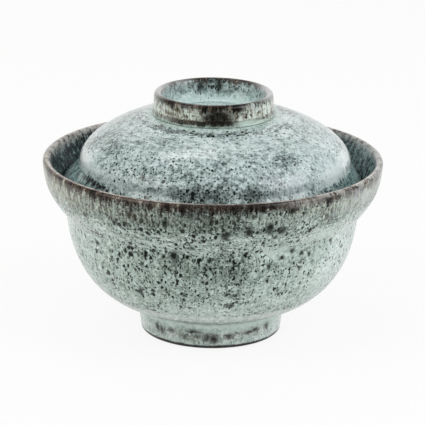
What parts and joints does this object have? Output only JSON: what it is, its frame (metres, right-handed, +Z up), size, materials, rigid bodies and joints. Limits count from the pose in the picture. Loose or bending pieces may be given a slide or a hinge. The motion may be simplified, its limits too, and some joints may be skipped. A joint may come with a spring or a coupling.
{
  "type": "donburi bowl with lid",
  "caption": "Stoneware donburi bowl on a foot ring, with a flared collar, and a domed lid with a grip ring that rests inside the collar and lifts off.",
  "frame": {"origin": "middle of the foot ring's base, on the surface that the bowl stands on", "axes": "+Z up along the axis of turning; X and Y are alike, and -Y faces the picture's camera"},
  "size_m": [0.16, 0.16, 0.1161],
  "materials": {
    "bowl_glaze": "glossy pale green reactive glaze with dark specks, brown where it thins at the lip",
    "foot_glaze": "glossy pale green glaze with brown blotches, bare dark clay where it stands",
    "lid_glaze": "glossy pale green reactive glaze with fine dark specks",
    "grip_glaze": "glossy glaze broken to dark brown at the edges, pale green between"
  },
  "bodies": {
    "bowl": {"bowl_body": "bowl_glaze", "foot_ring": "foot_glaze"},
    "lid": {"lid_dome": "lid_glaze", "grip_ring": "grip_glaze"}
  },
  "joints": [
    {"name": "lid_lift", "type": "slide", "parent": "bowl", "child": "lid", "axis": [0, 0, 1], "range_m": [0, 0.12]}
  ]
}
